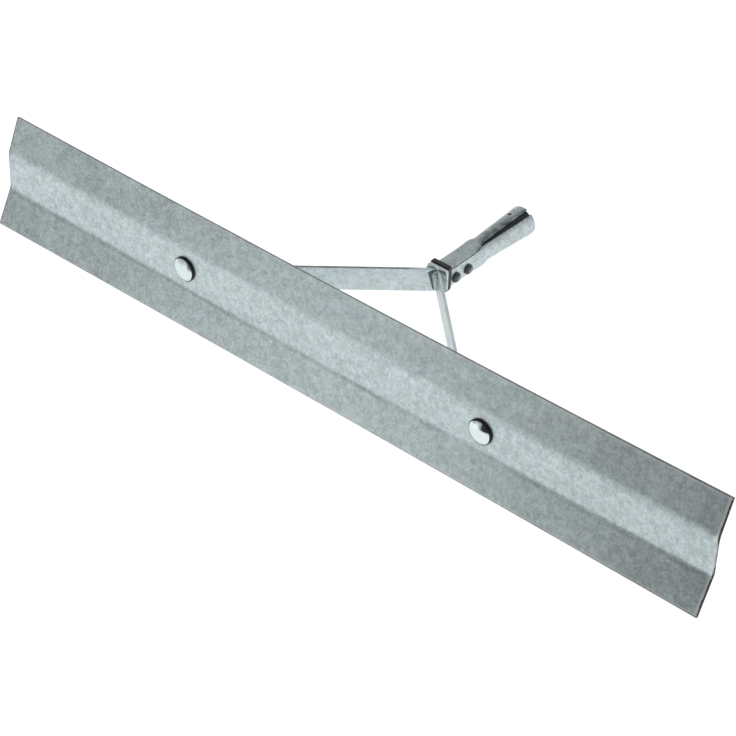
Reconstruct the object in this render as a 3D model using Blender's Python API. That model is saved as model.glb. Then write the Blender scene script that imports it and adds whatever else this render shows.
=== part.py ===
"""Bull float head: a Z-section sheet-metal blade on a strap bracket with a pressed handle socket.

Tool frame: X runs along the blade, Y runs back along the handle, Z runs up the blade's web, and
the origin is the centre of the web's front face. Every piece hangs from one empty, which leans
the tool back until the blade's lower edge and the socket's mouth both stand on the floor, Z = 0,
with the middle of its footprint at the world origin. The socket and its screws hang from a
second empty, the handle frame, whose Y axis is the handle's own slightly raised axis.
"""
from math import acos, atan2, copysign, cos, pi, radians, sin, tan

import bmesh
import bpy
from mathutils import Vector

GAP = 0.0003

# Blade: a sheet folded twice into a shallow Z.
BLADE_LENGTH = 0.9144
BLADE_THICK = 0.003
WEB_WIDTH = 0.041
FLANGE_WIDTH = 0.041
FOLD_ANGLE = radians(22)
UPPER_FOLD_RADIUS = 0.030
LOWER_FOLD_RADIUS = 0.016

# Carriage bolts that hold the braces to the web.
BOLT_SPACING = 0.386
HEAD_RADIUS = 0.0136
HEAD_RIM = 0.0022
HEAD_DOME = 0.0045
NECK_SIDE = 0.013
SHANK_RADIUS = 0.0062
BOLT_HOLE_RADIUS = 0.0068
WASHER_RADIUS = 0.0135
WASHER_THICK = 0.0024
LOCK_WASHER_RADIUS = 0.011
LOCK_WASHER_THICK = 0.003
LOCK_WASHER_SPLIT = 0.0015
NUT_FLATS = 0.019
NUT_THICK = 0.011
SHANK_PROUD = 0.003
SHANK_CHAMFER = 0.0012

# Flat-bar braces, from the web's back to the crown plate.
BAR_HEIGHT = 0.027
BAR_THICK = 0.0032
BAR_FOLD_RADIUS = 0.006
FOOT_FOLD_X = 0.173
FOOT_BEYOND_BOLT = 0.018
FOOT_CORNER_RADIUS = 0.0115
APEX_Y = 0.167
APEX_DROP = 0.0036
LEG_OVERSHOOT = 0.1

# Crown plate, with the tang bracket behind it.
CROWN_FRONT_Y = 0.1645
CROWN_WIDTH = 0.0255
CROWN_HEIGHT = 0.0254
CROWN_THICK = 0.004
CROWN_CORNER_RADIUS = 0.003
BASE_WIDTH = 0.024
BASE_TOP_Z = 0.0143
BASE_BOTTOM_Z = -0.0175
BASE_THICK = 0.0055
BASE_TOP_CORNER_RADIUS = 0.002
BASE_LOW_CORNER_RADIUS = 0.007
CHEEK_THICK = 0.003
CHEEK_TOP_Z = 0.0048
CHEEK_BOTTOM_Z = -0.0072
CHEEK_END_Y = 0.2095
RIVET_RADIUS = 0.0032
RIVET_HEAD_RADIUS = 0.0046
RIVET_HEAD_HEIGHT = 0.0025
WELD_LEG = 0.006
WELD_TOP_Z = 0.0095
WELD_BOTTOM_Z = -0.0120

# Handle frame: the handle's axis starts below the tool's axis and rises toward the mouth.
HANDLE_PITCH = radians(2)
HANDLE_DROP = 0.0075

# Handle socket: a sheet wrapped into a box at the tang and a tapered round ferrule at the mouth.
SOCKET_WALL = 0.002
SOCKET_START_GAP = 0.001
SOCKET_BOX_HALF_X = 0.0105
SOCKET_BOX_HALF_Z = 0.0110
SOCKET_BOX_POWER = 9.0
BOX_END_Y = 0.211
FERRULE_START_Y = 0.236
FERRULE_START_RADIUS = 0.0130
MOUTH_Y = 0.3045
MOUTH_RADIUS = 0.0164
SEAM_ANGLE_BOX = radians(45)
SEAM_ANGLE_MOUTH = radians(29)
SEAM_GAP_MOUTH = 0.0062
SEAM_GAP_BOX = 0.0006
SEAM_OPENS_Y = 0.226
LAP_START_Y = 0.221
LAP_SPREAD = radians(11)
LAP_DEPTH = 0.0012
HANDLE_SCREW_Y = 0.2865
HANDLE_SCREW_ANGLE = radians(-16)
HANDLE_SCREW_RADIUS = 0.0024

# Domed bolts through the box end and the tang bracket's cheeks.
TANG_BOLT_Y = (0.1832, 0.2022)
TANG_BOLT_Z = -0.0026
TANG_SHANK_RADIUS = 0.0025
TANG_HEAD_RADIUS = 0.0056
TANG_HEAD_RIM = 0.0018
TANG_HEAD_DOME = 0.0025
TANG_WASHER_RADIUS = 0.0050
TANG_WASHER_THICK = 0.0008
TANG_NUT_FLATS = 0.008
TANG_NUT_THICK = 0.003
TANG_SHANK_PROUD = 0.0005

FOLD_STEPS = 6
ROUND_SEGMENTS = 32
SMALL_SEGMENTS = 24
SOCKET_SEGMENTS = 44
LAP_SEGMENTS = 8
BOX_STATIONS = 3
BLEND_STATIONS = 8
FERRULE_STATIONS = 6
BOOLEAN_REACH = 0.02

COLOURS = {
    "galvanised_sheet": ((0.60, 0.64, 0.64), 0.45, 0.9),
    "galvanised_bar": ((0.62, 0.65, 0.67), 0.42, 0.9),
    "zinc_fastener": ((0.70, 0.73, 0.73), 0.30, 1.0),
    "black_steel": ((0.03, 0.035, 0.035), 0.50, 0.3),
    "black_fastener": ((0.05, 0.055, 0.06), 0.40, 0.6),
    "weld_metal": ((0.72, 0.73, 0.76), 0.50, 0.8),
}


def clear_scene():
    for item in list(bpy.data.objects):
        bpy.data.objects.remove(item)


def material(slot):
    """The slot's material, made once and then shared."""
    found = bpy.data.materials.get(slot)
    if found:
        return found
    colour, roughness, metallic = COLOURS[slot]
    made = bpy.data.materials.new(slot)
    made.use_nodes = True
    shader = made.node_tree.nodes["Principled BSDF"]
    shader.inputs["Base Color"].default_value = (*colour, 1.0)
    shader.inputs["Roughness"].default_value = roughness
    shader.inputs["Metallic"].default_value = metallic
    return made


def add_object(name, bm, slot, parent):
    """Turn a bmesh into a named object with outward normals and smooth round faces."""
    bmesh.ops.recalc_face_normals(bm, faces=bm.faces)
    mesh = bpy.data.meshes.new(name)
    bm.to_mesh(mesh)
    bm.free()
    mesh.shade_smooth()
    mesh.set_sharp_from_angle(angle=radians(30))
    mesh.materials.append(material(slot))
    item = bpy.data.objects.new(name, mesh)
    bpy.context.scene.collection.objects.link(item)
    item.parent = parent
    return item


def as_cutter(item):
    item.hide_render = True
    item.display_type = 'WIRE'
    return item


def boolean(item, other, operation):
    modifier = item.modifiers.new(f"{operation.lower()}_{other.name}", 'BOOLEAN')
    modifier.operation = operation
    modifier.solver = 'EXACT'
    modifier.object = other


def left_of(direction):
    return Vector((-direction.y, direction.x))


def turned_left(direction, angle):
    return direction * cos(angle) + left_of(direction) * sin(angle)


def rounded_path(corners, radii):
    """Points with left-hand normals along a polyline, with one radius for each inner corner."""
    start_normal = left_of((corners[1] - corners[0]).normalized())
    samples = [(corners[0], start_normal)]
    for before, corner, after, radius in zip(corners, corners[1:], corners[2:], radii):
        arriving = (corner - before).normalized()
        leaving = (after - corner).normalized()
        turn = copysign(acos(arriving.dot(leaving)), left_of(arriving).dot(leaving))
        side = copysign(1.0, turn)
        arc_start = corner - arriving * radius * tan(abs(turn) / 2)
        centre = arc_start + left_of(arriving) * radius * side
        for step in range(FOLD_STEPS + 1):
            normal = turned_left(left_of(arriving), turn * step / FOLD_STEPS)
            samples.append((centre - normal * radius * side, normal))
    end_normal = left_of((corners[-1] - corners[-2]).normalized())
    samples.append((corners[-1], end_normal))
    return samples


def strip_outline(corners, radii, thickness):
    """Closed outline of a folded strip of even thickness around its centre line."""
    samples = rounded_path(corners, radii)
    one_side = [point + normal * thickness / 2 for point, normal in samples]
    other_side = [point - normal * thickness / 2 for point, normal in reversed(samples)]
    return one_side + other_side


def clipped(outline, point, outward):
    """The part of a convex-enough outline that lies behind the line through point."""
    kept = []
    for here, there in zip(outline, outline[1:] + outline[:1]):
        here_out = (here - point).dot(outward)
        there_out = (there - point).dot(outward)
        if here_out <= 0:
            kept.append(here)
        if here_out * there_out < 0:
            kept.append(here.lerp(there, here_out / (here_out - there_out)))
    return kept


def prism(outline, low, high):
    """A bmesh of a flat outline in local XY, extruded from low to high along local Z."""
    bm = bmesh.new()
    floor = bm.faces.new([bm.verts.new((point.x, point.y, low)) for point in outline])
    extruded = bmesh.ops.extrude_face_region(bm, geom=[floor], use_keep_orig=True)
    top = [part for part in extruded["geom"] if isinstance(part, bmesh.types.BMVert)]
    bmesh.ops.translate(bm, verts=top, vec=(0, 0, high - low))
    return bm


def block(low, high):
    """A bmesh of an upright block between two corners."""
    bm = bmesh.new()
    bmesh.ops.create_cube(bm, size=1.0)
    for vert in bm.verts:
        place = [lo + (hi - lo) * (share + 0.5) for lo, hi, share in zip(low, high, vert.co)]
        vert.co = Vector(place)
    return bm


def regular_outline(sides, radius):
    return [Vector((radius * cos(2 * pi * k / sides), radius * sin(2 * pi * k / sides)))
            for k in range(sides)]


def turned(profile, segments):
    """A bmesh of a (radius, height) profile turned about local Z, closed at both ends."""
    bm = bmesh.new()
    rings = []
    for radius, height in profile:
        if radius == 0:
            rings.append([bm.verts.new((0, 0, height))])
        else:
            rings.append([bm.verts.new((radius * cos(2 * pi * k / segments),
                                        radius * sin(2 * pi * k / segments), height))
                          for k in range(segments)])
    pairs = list(zip(rings, rings[1:]))
    if len(rings[0]) > 1 and len(rings[-1]) > 1:
        pairs.append((rings[-1], rings[0]))
    for lower, upper in pairs:
        for k in range(segments):
            after = (k + 1) % segments
            corners = [lower[k % len(lower)], lower[after % len(lower)],
                       upper[after % len(upper)], upper[k % len(upper)]]
            distinct = list(dict.fromkeys(corners))
            bm.faces.new(distinct)
    return bm


def round_corners(bm, along, radius, keep):
    """Bevel the edges that run along one axis (0, 1 or 2) and satisfy keep."""
    edges = []
    for edge in bm.edges:
        run = (edge.verts[1].co - edge.verts[0].co).normalized()
        middle = (edge.verts[1].co + edge.verts[0].co) / 2
        if abs(run[along]) > 0.99 and keep(middle):
            edges.append(edge)
    bmesh.ops.bevel(bm, geom=edges, offset=radius, segments=FOLD_STEPS, affect='EDGES', profile=0.5)


def back_facing(item, x, y):
    """Stand a piece's local +Z along the tool's +Y at the given place."""
    item.location = (x, y, 0.0)
    item.rotation_euler = (-pi / 2, 0, 0)


def side_facing(item, x, y, z):
    """Stand a piece's local +Z along the tool's -X at the given place."""
    item.location = (x, y, z)
    item.rotation_euler = (0, -pi / 2, 0)


# --- Blade ------------------------------------------------------------------------------------

def blade_centre_line():
    """Corners of the folded sheet's centre line in (Y, Z), from the top edge to the lower edge."""
    half_web = WEB_WIDTH / 2
    reach = Vector((FLANGE_WIDTH * sin(FOLD_ANGLE), FLANGE_WIDTH * cos(FOLD_ANGLE)))
    upper_fold = Vector((BLADE_THICK / 2, half_web))
    lower_fold = Vector((BLADE_THICK / 2, -half_web))
    return [upper_fold + reach, upper_fold, lower_fold, lower_fold - reach]


def blade_outline():
    return strip_outline(blade_centre_line(), (UPPER_FOLD_RADIUS, LOWER_FOLD_RADIUS), BLADE_THICK)


def make_blade(tool):
    blade = add_object("blade", prism(blade_outline(), -BLADE_LENGTH / 2, BLADE_LENGTH / 2),
                       "galvanised_sheet", tool)
    blade.rotation_euler = (pi / 2, 0, pi / 2)
    half_hole = NECK_SIDE / 2 + GAP
    for side, x in bolt_places():
        hole = block((-half_hole, -BOOLEAN_REACH, -half_hole), (half_hole, BOOLEAN_REACH, half_hole))
        cutter = as_cutter(add_object(f"neck_hole_{side}", hole, "galvanised_sheet", tool))
        cutter.location.x = x
        boolean(blade, cutter, 'DIFFERENCE')
    blade.modifiers.new("flat_web", 'WEIGHTED_NORMAL').keep_sharp = True


# --- Braces -----------------------------------------------------------------------------------

def bolt_places():
    return (("left", -BOLT_SPACING / 2), ("right", BOLT_SPACING / 2))


def foot_centre_y():
    return BLADE_THICK + GAP + BAR_THICK / 2


def brace_outline():
    """Plan of the right brace: a foot on the web, and a leg mitred against its twin."""
    foot_end = Vector((BOLT_SPACING / 2 + FOOT_BEYOND_BOLT, foot_centre_y()))
    foot_fold = Vector((FOOT_FOLD_X, foot_centre_y()))
    past_apex = Vector((0.0, APEX_Y)).lerp(foot_fold, -LEG_OVERSHOOT)
    outline = strip_outline([foot_end, foot_fold, past_apex], (BAR_FOLD_RADIUS,), BAR_THICK)
    outline = clipped(outline, Vector((0.0, CROWN_FRONT_Y - GAP)), Vector((0.0, 1.0)))
    return clipped(outline, Vector((GAP / 2, 0.0)), Vector((-1.0, 0.0)))


def make_brace(side, x, tool):
    """A bar on edge, whose leg runs a little downward from its foot to the crown plate."""
    hand = copysign(1.0, x)
    outline = [Vector((hand * point.x, point.y)) for point in brace_outline()]
    bm = prism(outline, -BAR_HEIGHT / 2, BAR_HEIGHT / 2)
    foot_end = BOLT_SPACING / 2 + FOOT_BEYOND_BOLT
    round_corners(bm, 1, FOOT_CORNER_RADIUS, lambda middle: abs(middle.x) > foot_end - GAP)
    for vert in bm.verts:
        vert.co.z -= APEX_DROP * (vert.co.y - foot_centre_y()) / (APEX_Y - foot_centre_y())
    brace = add_object(f"brace_{side}", bm, "galvanised_bar", tool)
    hole = prism(regular_outline(ROUND_SEGMENTS, BOLT_HOLE_RADIUS), -BOOLEAN_REACH, BOOLEAN_REACH)
    cutter = as_cutter(add_object(f"foot_hole_{side}", hole, "galvanised_bar", tool))
    back_facing(cutter, x, foot_centre_y())
    boolean(brace, cutter, 'DIFFERENCE')


# --- Blade bolts ------------------------------------------------------------------------------

def dome_profile(radius, height, steps):
    """A spherical cap from its crown down to its rim, for a head that points to local -Z."""
    sphere = (radius ** 2 + height ** 2) / (2 * height)
    spread = acos((sphere - height) / sphere)
    return [(sphere * sin(spread * k / steps), sphere * (1 - cos(spread * k / steps)) - height)
            for k in range(steps + 1)]


def blade_bolt_stack():
    """Where each piece behind the brace foot starts, in order along Y."""
    washer = BLADE_THICK + BAR_THICK + 2 * GAP
    lock_washer = washer + WASHER_THICK + GAP
    nut = lock_washer + LOCK_WASHER_THICK + GAP
    return washer, lock_washer, nut


def make_blade_bolt(side, x, tool):
    shank_end = blade_bolt_stack()[2] + NUT_THICK + SHANK_PROUD
    profile = [(radius, height - HEAD_RIM)
               for radius, height in dome_profile(HEAD_RADIUS, HEAD_DOME, FOLD_STEPS)]
    profile += [(HEAD_RADIUS, 0.0), (SHANK_RADIUS, 0.0), (SHANK_RADIUS, shank_end - SHANK_CHAMFER),
                (SHANK_RADIUS - SHANK_CHAMFER, shank_end), (0, shank_end)]
    bolt = add_object(f"blade_bolt_{side}", turned(profile, ROUND_SEGMENTS), "zinc_fastener", tool)
    back_facing(bolt, x, -GAP)
    half = NECK_SIDE / 2
    neck = as_cutter(add_object(f"bolt_neck_{side}",
                                block((-half, -HEAD_RIM / 2, -half), (half, BLADE_THICK, half)),
                                "zinc_fastener", tool))
    neck.location.x = x
    boolean(bolt, neck, 'UNION')


def make_washer(name, slot, outer, inner, thick, tool):
    profile = [(inner, 0.0), (outer, 0.0), (outer, thick), (inner, thick)]
    return add_object(name, turned(profile, ROUND_SEGMENTS), slot, tool)


def make_nut(name, slot, flats, hole_radius, thick, tool):
    nut = add_object(name, prism(regular_outline(6, flats / 2 / cos(pi / 6)), 0.0, thick), slot, tool)
    bore = prism(regular_outline(SMALL_SEGMENTS, hole_radius), -BOOLEAN_REACH, BOOLEAN_REACH)
    cutter = as_cutter(add_object(f"{name}_bore", bore, slot, tool))
    cutter.parent = nut
    boolean(nut, cutter, 'DIFFERENCE')
    return nut


def make_lock_washer(side, tool):
    """A spring washer, cut through once."""
    washer = make_washer(f"blade_lock_washer_{side}", "zinc_fastener", LOCK_WASHER_RADIUS,
                         SHANK_RADIUS + GAP, LOCK_WASHER_THICK, tool)
    half = LOCK_WASHER_SPLIT / 2
    slit = block((-half, 0.0, -BOOLEAN_REACH), (half, BOOLEAN_REACH, BOOLEAN_REACH))
    cutter = as_cutter(add_object(f"lock_washer_slit_{side}", slit, "zinc_fastener", tool))
    cutter.parent = washer
    boolean(washer, cutter, 'DIFFERENCE')
    return washer


def make_blade_fasteners(tool):
    washer_y, lock_washer_y, nut_y = blade_bolt_stack()
    for side, x in bolt_places():
        make_blade_bolt(side, x, tool)
        washer = make_washer(f"blade_washer_{side}", "zinc_fastener", WASHER_RADIUS,
                             SHANK_RADIUS + GAP, WASHER_THICK, tool)
        back_facing(washer, x, washer_y)
        back_facing(make_lock_washer(side, tool), x, lock_washer_y)
        nut = make_nut(f"blade_nut_{side}", "zinc_fastener", NUT_FLATS, SHANK_RADIUS + GAP,
                       NUT_THICK, tool)
        back_facing(nut, x, nut_y)


# --- Crown ------------------------------------------------------------------------------------

def base_front_y():
    return CROWN_FRONT_Y + CROWN_THICK + GAP


def plate(width, front, thick, bottom, top):
    """A bmesh of an upright plate across the handle."""
    return block((-width / 2, front, bottom), (width / 2, front + thick, top))


def rivet_hole(name, tool):
    hole = prism(regular_outline(SMALL_SEGMENTS, RIVET_RADIUS + GAP), -BOOLEAN_REACH, BOOLEAN_REACH)
    cutter = as_cutter(add_object(name, hole, "galvanised_bar", tool))
    back_facing(cutter, 0.0, base_front_y())
    return cutter


def make_crown_plate(tool):
    bm = plate(CROWN_WIDTH, CROWN_FRONT_Y, CROWN_THICK, -CROWN_HEIGHT / 2, CROWN_HEIGHT / 2)
    round_corners(bm, 1, CROWN_CORNER_RADIUS, lambda middle: True)
    crown = add_object("crown_plate", bm, "galvanised_bar", tool)
    boolean(crown, rivet_hole("crown_rivet_hole", tool), 'DIFFERENCE')


def make_tang_bracket(tool, handle):
    """A base plate with two cheeks that reach into the socket's box end."""
    bm = plate(BASE_WIDTH, base_front_y(), BASE_THICK, BASE_BOTTOM_Z, BASE_TOP_Z)
    round_corners(bm, 1, BASE_TOP_CORNER_RADIUS, lambda middle: middle.z > BASE_TOP_Z - GAP)
    round_corners(bm, 1, BASE_LOW_CORNER_RADIUS, lambda middle: middle.z < BASE_BOTTOM_Z + GAP)
    bracket = add_object("tang_bracket", bm, "black_steel", tool)
    outer = SOCKET_BOX_HALF_X - SOCKET_WALL - GAP
    inner = outer - CHEEK_THICK
    start = base_front_y() + BASE_THICK / 2
    for side, low, high in (("left", -outer, -inner), ("right", inner, outer)):
        cheek = block((low, start, CHEEK_BOTTOM_Z), (high, CHEEK_END_Y, CHEEK_TOP_Z))
        added = as_cutter(add_object(f"tang_cheek_{side}", cheek, "black_steel", handle))
        boolean(bracket, added, 'UNION')
    boolean(bracket, rivet_hole("base_rivet_hole", tool), 'DIFFERENCE')
    for cutter in tang_bolt_holes("cheek", handle):
        boolean(bracket, cutter, 'DIFFERENCE')


def make_crown_rivet(tool):
    """A rivet that is flush in the crown plate and domed behind the bracket's base."""
    length = CROWN_THICK + BASE_THICK + 2 * GAP
    dome = [(radius, length - height)
            for radius, height in dome_profile(RIVET_HEAD_RADIUS, RIVET_HEAD_HEIGHT, FOLD_STEPS)]
    profile = [(0, 0.0), (RIVET_RADIUS, 0.0), (RIVET_RADIUS, length)] + dome[::-1]
    rivet = add_object("crown_rivet", turned(profile, SMALL_SEGMENTS), "black_fastener", tool)
    back_facing(rivet, 0.0, CROWN_FRONT_Y)


def make_crown_welds(tool):
    """A fillet on the outer side of each brace, where it meets the crown plate."""
    apex = Vector((0.0, APEX_Y))
    foot_fold = Vector((FOOT_FOLD_X, foot_centre_y()))
    down_leg = (foot_fold - apex).normalized()
    outward = left_of(down_leg)
    face_point = apex + outward * (BAR_THICK / 2 + GAP)
    reach = (CROWN_FRONT_Y - GAP - face_point.y) / down_leg.y
    root = face_point + down_leg * reach
    along_leg = root + down_leg * WELD_LEG
    along_plate = root + Vector((WELD_LEG, 0.0))
    right = prism([root, along_leg, along_plate], WELD_BOTTOM_Z, WELD_TOP_Z)
    left = right.copy()
    bmesh.ops.scale(left, vec=(-1, 1, 1), verts=left.verts)
    for name, bm in (("crown_weld_right", right), ("crown_weld_left", left)):
        add_object(name, bm, "weld_metal", tool)


# --- Handle socket ----------------------------------------------------------------------------

def ease(share):
    share = min(max(share, 0.0), 1.0)
    return share * share * (3 - 2 * share)


def socket_section(y):
    """Half width, half height, squareness, seam angle and seam gap of the socket at y."""
    rounding = ease((y - BOX_END_Y) / (FERRULE_START_Y - BOX_END_Y))
    flare = max(0.0, (y - FERRULE_START_Y) / (MOUTH_Y - FERRULE_START_Y))
    radius = FERRULE_START_RADIUS + (MOUTH_RADIUS - FERRULE_START_RADIUS) * flare
    half_x = SOCKET_BOX_HALF_X + (radius - SOCKET_BOX_HALF_X) * rounding
    half_z = SOCKET_BOX_HALF_Z + (radius - SOCKET_BOX_HALF_Z) * rounding
    power = SOCKET_BOX_POWER + (2.0 - SOCKET_BOX_POWER) * rounding
    seam = SEAM_ANGLE_BOX + (SEAM_ANGLE_MOUTH - SEAM_ANGLE_BOX) * rounding
    opening = max(0.0, (y - SEAM_OPENS_Y) / (MOUTH_Y - SEAM_OPENS_Y)) ** 0.5
    gap = SEAM_GAP_BOX + (SEAM_GAP_MOUTH - SEAM_GAP_BOX) * opening
    return half_x, half_z, power, seam, gap


def section_point(half_x, half_z, power, angle):
    """A point of the rounded outline, at an angle from +Z towards +X."""
    across = abs(sin(angle)) / half_x
    up = abs(cos(angle)) / half_z
    distance = (across ** power + up ** power) ** (-1 / power)
    return distance * sin(angle), distance * cos(angle)


def stations(start, end, count):
    """Count evenly spaced places after start, the last of them at end."""
    return [start + (end - start) * k / count for k in range(1, count + 1)]


def socket_stations():
    start = base_front_y() + BASE_THICK + SOCKET_START_GAP
    return ([start] + stations(start, BOX_END_Y, BOX_STATIONS)
            + stations(BOX_END_Y, FERRULE_START_Y, BLEND_STATIONS)
            + stations(FERRULE_START_Y, MOUTH_Y, FERRULE_STATIONS))


def seam_half_angle(y):
    """Half of the angle that the open seam takes up at y."""
    half_x, half_z, power, seam, gap = socket_section(y)
    return gap / 2 / Vector(section_point(half_x, half_z, power, seam)).length


def sheet_loop(y, insets, first_angle, last_angle, count):
    """Outer skin points, then inner skin points backwards, of a curved sheet at y."""
    half_x, half_z, power = socket_section(y)[:3]
    angles = [first_angle + (last_angle - first_angle) * k / count for k in range(count + 1)]
    outer, inner = ([(x, y, z) for x, z in (section_point(half_x - inset, half_z - inset, power, a)
                                            for a in angles)] for inset in insets)
    return outer + inner[::-1]


def swept_sheet(loops):
    """A closed bmesh through sheet loops of equal length."""
    bm = bmesh.new()
    rings = [[bm.verts.new(point) for point in loop] for loop in loops]
    for near, far in zip(rings, rings[1:]):
        for k in range(len(near)):
            after = (k + 1) % len(near)
            bm.faces.new([near[k], near[after], far[after], far[k]])
    for ring in (rings[0], rings[-1]):
        for k in range(len(ring) // 2 - 1):
            bm.faces.new([ring[k], ring[k + 1], ring[-2 - k], ring[-1 - k]])
    return bm


def wrapped_sheet():
    loops = []
    for y in socket_stations():
        edge = socket_section(y)[3] + seam_half_angle(y)
        last = edge + 2 * pi - 2 * seam_half_angle(y)
        loops.append(sheet_loop(y, (0.0, SOCKET_WALL), edge, last, SOCKET_SEGMENTS))
    return swept_sheet(loops)


def seam_lap():
    """The strip of the sheet that runs on under the open seam of the ferrule."""
    loops = []
    for y in [y for y in socket_stations()[:-1] if y > LAP_START_Y] + [MOUTH_Y - GAP]:
        spread = seam_half_angle(y) + LAP_SPREAD
        seam = socket_section(y)[3]
        insets = (SOCKET_WALL - GAP, SOCKET_WALL + LAP_DEPTH)
        loops.append(sheet_loop(y, insets, seam - spread, seam + spread, LAP_SEGMENTS))
    return swept_sheet(loops)


def tang_bolt_holes(prefix, handle):
    cutters = []
    for place, y in zip(("front", "rear"), TANG_BOLT_Y):
        hole = prism(regular_outline(SMALL_SEGMENTS, TANG_SHANK_RADIUS + GAP),
                     -BOOLEAN_REACH, BOOLEAN_REACH)
        cutter = as_cutter(add_object(f"{prefix}_hole_{place}", hole, "black_steel", handle))
        side_facing(cutter, 0.0, y, TANG_BOLT_Z)
        cutters.append(cutter)
    return cutters


def make_handle_socket(handle):
    socket = add_object("handle_socket", wrapped_sheet(), "galvanised_sheet", handle)
    lap = as_cutter(add_object("socket_seam_lap", seam_lap(), "galvanised_sheet", handle))
    boolean(socket, lap, 'UNION')
    for cutter in tang_bolt_holes("socket", handle):
        boolean(socket, cutter, 'DIFFERENCE')
    hole = prism(regular_outline(SMALL_SEGMENTS, HANDLE_SCREW_RADIUS), MOUTH_RADIUS / 2, 2 * MOUTH_RADIUS)
    cutter = as_cutter(add_object("handle_screw_hole", hole, "galvanised_sheet", handle))
    cutter.location.y = HANDLE_SCREW_Y
    cutter.rotation_euler.y = HANDLE_SCREW_ANGLE
    boolean(socket, cutter, 'DIFFERENCE')


# --- Tang fasteners ---------------------------------------------------------------------------

def tang_bolt_profile(shank_end):
    """Domed head on the local -Z side of a shank, with the head's seat at zero."""
    dome = [(radius, height - TANG_HEAD_RIM)
            for radius, height in dome_profile(TANG_HEAD_RADIUS, TANG_HEAD_DOME, FOLD_STEPS)]
    return dome + [(TANG_HEAD_RADIUS, 0.0), (TANG_SHANK_RADIUS, 0.0),
                   (TANG_SHANK_RADIUS, shank_end), (0, shank_end)]


def make_tang_fasteners(handle):
    seat = SOCKET_BOX_HALF_X + GAP
    nut_at = seat + TANG_WASHER_THICK + GAP
    shank_end = seat + nut_at + TANG_NUT_THICK + TANG_SHANK_PROUD
    for place, y in zip(("front", "rear"), TANG_BOLT_Y):
        bolt = add_object(f"tang_bolt_{place}", turned(tang_bolt_profile(shank_end), SMALL_SEGMENTS),
                          "black_fastener", handle)
        side_facing(bolt, seat, y, TANG_BOLT_Z)
        washer = make_washer(f"tang_washer_{place}", "zinc_fastener", TANG_WASHER_RADIUS,
                             TANG_SHANK_RADIUS + GAP, TANG_WASHER_THICK, handle)
        side_facing(washer, -seat, y, TANG_BOLT_Z)
        nut = make_nut(f"tang_nut_{place}", "black_fastener", TANG_NUT_FLATS,
                       TANG_SHANK_RADIUS + GAP, TANG_NUT_THICK, handle)
        side_facing(nut, -nut_at, y, TANG_BOLT_Z)


# --- Assembly ---------------------------------------------------------------------------------

def lower_edge_corners():
    """The blade's lower edge in (Y, Z): its front corner and its back corner."""
    outline = blade_outline()
    half = len(outline) // 2
    first, second = outline[half - 1], outline[half]
    return sorted((first, second), key=lambda corner: corner.x)


def mouth_rim(up):
    """The mouth's highest (up = 1) or lowest (up = -1) rim point, in the tool's (Y, Z)."""
    along = Vector((cos(HANDLE_PITCH), sin(HANDLE_PITCH)))
    return along * MOUTH_Y + left_of(along) * MOUTH_RADIUS * up - Vector((0.0, HANDLE_DROP))


def leaned_y(point, lean):
    return point.x * cos(lean) + point.y * sin(lean)


def stand_on_floor(tool):
    """Lean back until the lower edge's back corner and the socket's mouth are level."""
    front, back = lower_edge_corners()
    low_rim = mouth_rim(-1)
    lean = atan2(low_rim.y - back.y, low_rim.x - back.x)
    front_most = leaned_y(front, lean)
    rear_most = leaned_y(mouth_rim(1), lean)
    lowest = back.y * cos(lean) - back.x * sin(lean)
    tool.rotation_euler.x = -lean
    tool.location = (0.0, -(front_most + rear_most) / 2, -lowest)


def empty_frame(name, parent):
    frame = bpy.data.objects.new(name, None)
    bpy.context.scene.collection.objects.link(frame)
    frame.parent = parent
    return frame


def build():
    clear_scene()
    tool = empty_frame("tool_frame", None)
    handle = empty_frame("handle_frame", tool)
    handle.location.z = -HANDLE_DROP
    handle.rotation_euler.x = HANDLE_PITCH
    make_blade(tool)
    for side, x in bolt_places():
        make_brace(side, x, tool)
    make_blade_fasteners(tool)
    make_crown_plate(tool)
    make_tang_bracket(tool, handle)
    make_crown_rivet(tool)
    make_crown_welds(tool)
    make_handle_socket(handle)
    make_tang_fasteners(handle)
    stand_on_floor(tool)


build()
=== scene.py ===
"""Looks of a bull float head: galvanised blade, flat-bar braces, black tang bracket, handle socket.

Shapes are built in the tool frame: X along the blade, Y back along the handle, Z up the blade's
web, with the origin at the centre of the web's front face. TOOL carries that frame to where the
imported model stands, and HANDLE carries the socket's own slightly raised frame.
"""

from math import acos, atan2, copysign, cos, exp, pi, radians, sin, tan

import bmesh
import bpy
from mathutils import Matrix, Vector, noise


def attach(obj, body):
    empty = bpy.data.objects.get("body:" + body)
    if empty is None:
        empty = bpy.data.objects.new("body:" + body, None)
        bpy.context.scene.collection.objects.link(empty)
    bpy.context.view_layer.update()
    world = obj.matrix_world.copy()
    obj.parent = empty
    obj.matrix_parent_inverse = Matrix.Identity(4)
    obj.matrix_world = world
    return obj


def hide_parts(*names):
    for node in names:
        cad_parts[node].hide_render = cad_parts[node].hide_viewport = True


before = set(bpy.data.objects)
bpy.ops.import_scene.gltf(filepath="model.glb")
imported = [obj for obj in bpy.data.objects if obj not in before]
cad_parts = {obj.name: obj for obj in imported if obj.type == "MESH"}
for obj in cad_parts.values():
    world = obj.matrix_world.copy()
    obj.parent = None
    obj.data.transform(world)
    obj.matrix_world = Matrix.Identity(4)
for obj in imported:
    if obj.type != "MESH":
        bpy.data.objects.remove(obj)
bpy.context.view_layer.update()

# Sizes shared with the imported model, in metres.
GAP = 0.0003
BLADE_LENGTH = 0.9144
BLADE_THICK = 0.003
WEB_WIDTH = 0.041
FLANGE_WIDTH = 0.041
FOLD_ANGLE = radians(22)
UPPER_FOLD_RADIUS = 0.030
LOWER_FOLD_RADIUS = 0.016
BOLT_SPACING = 0.386
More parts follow.
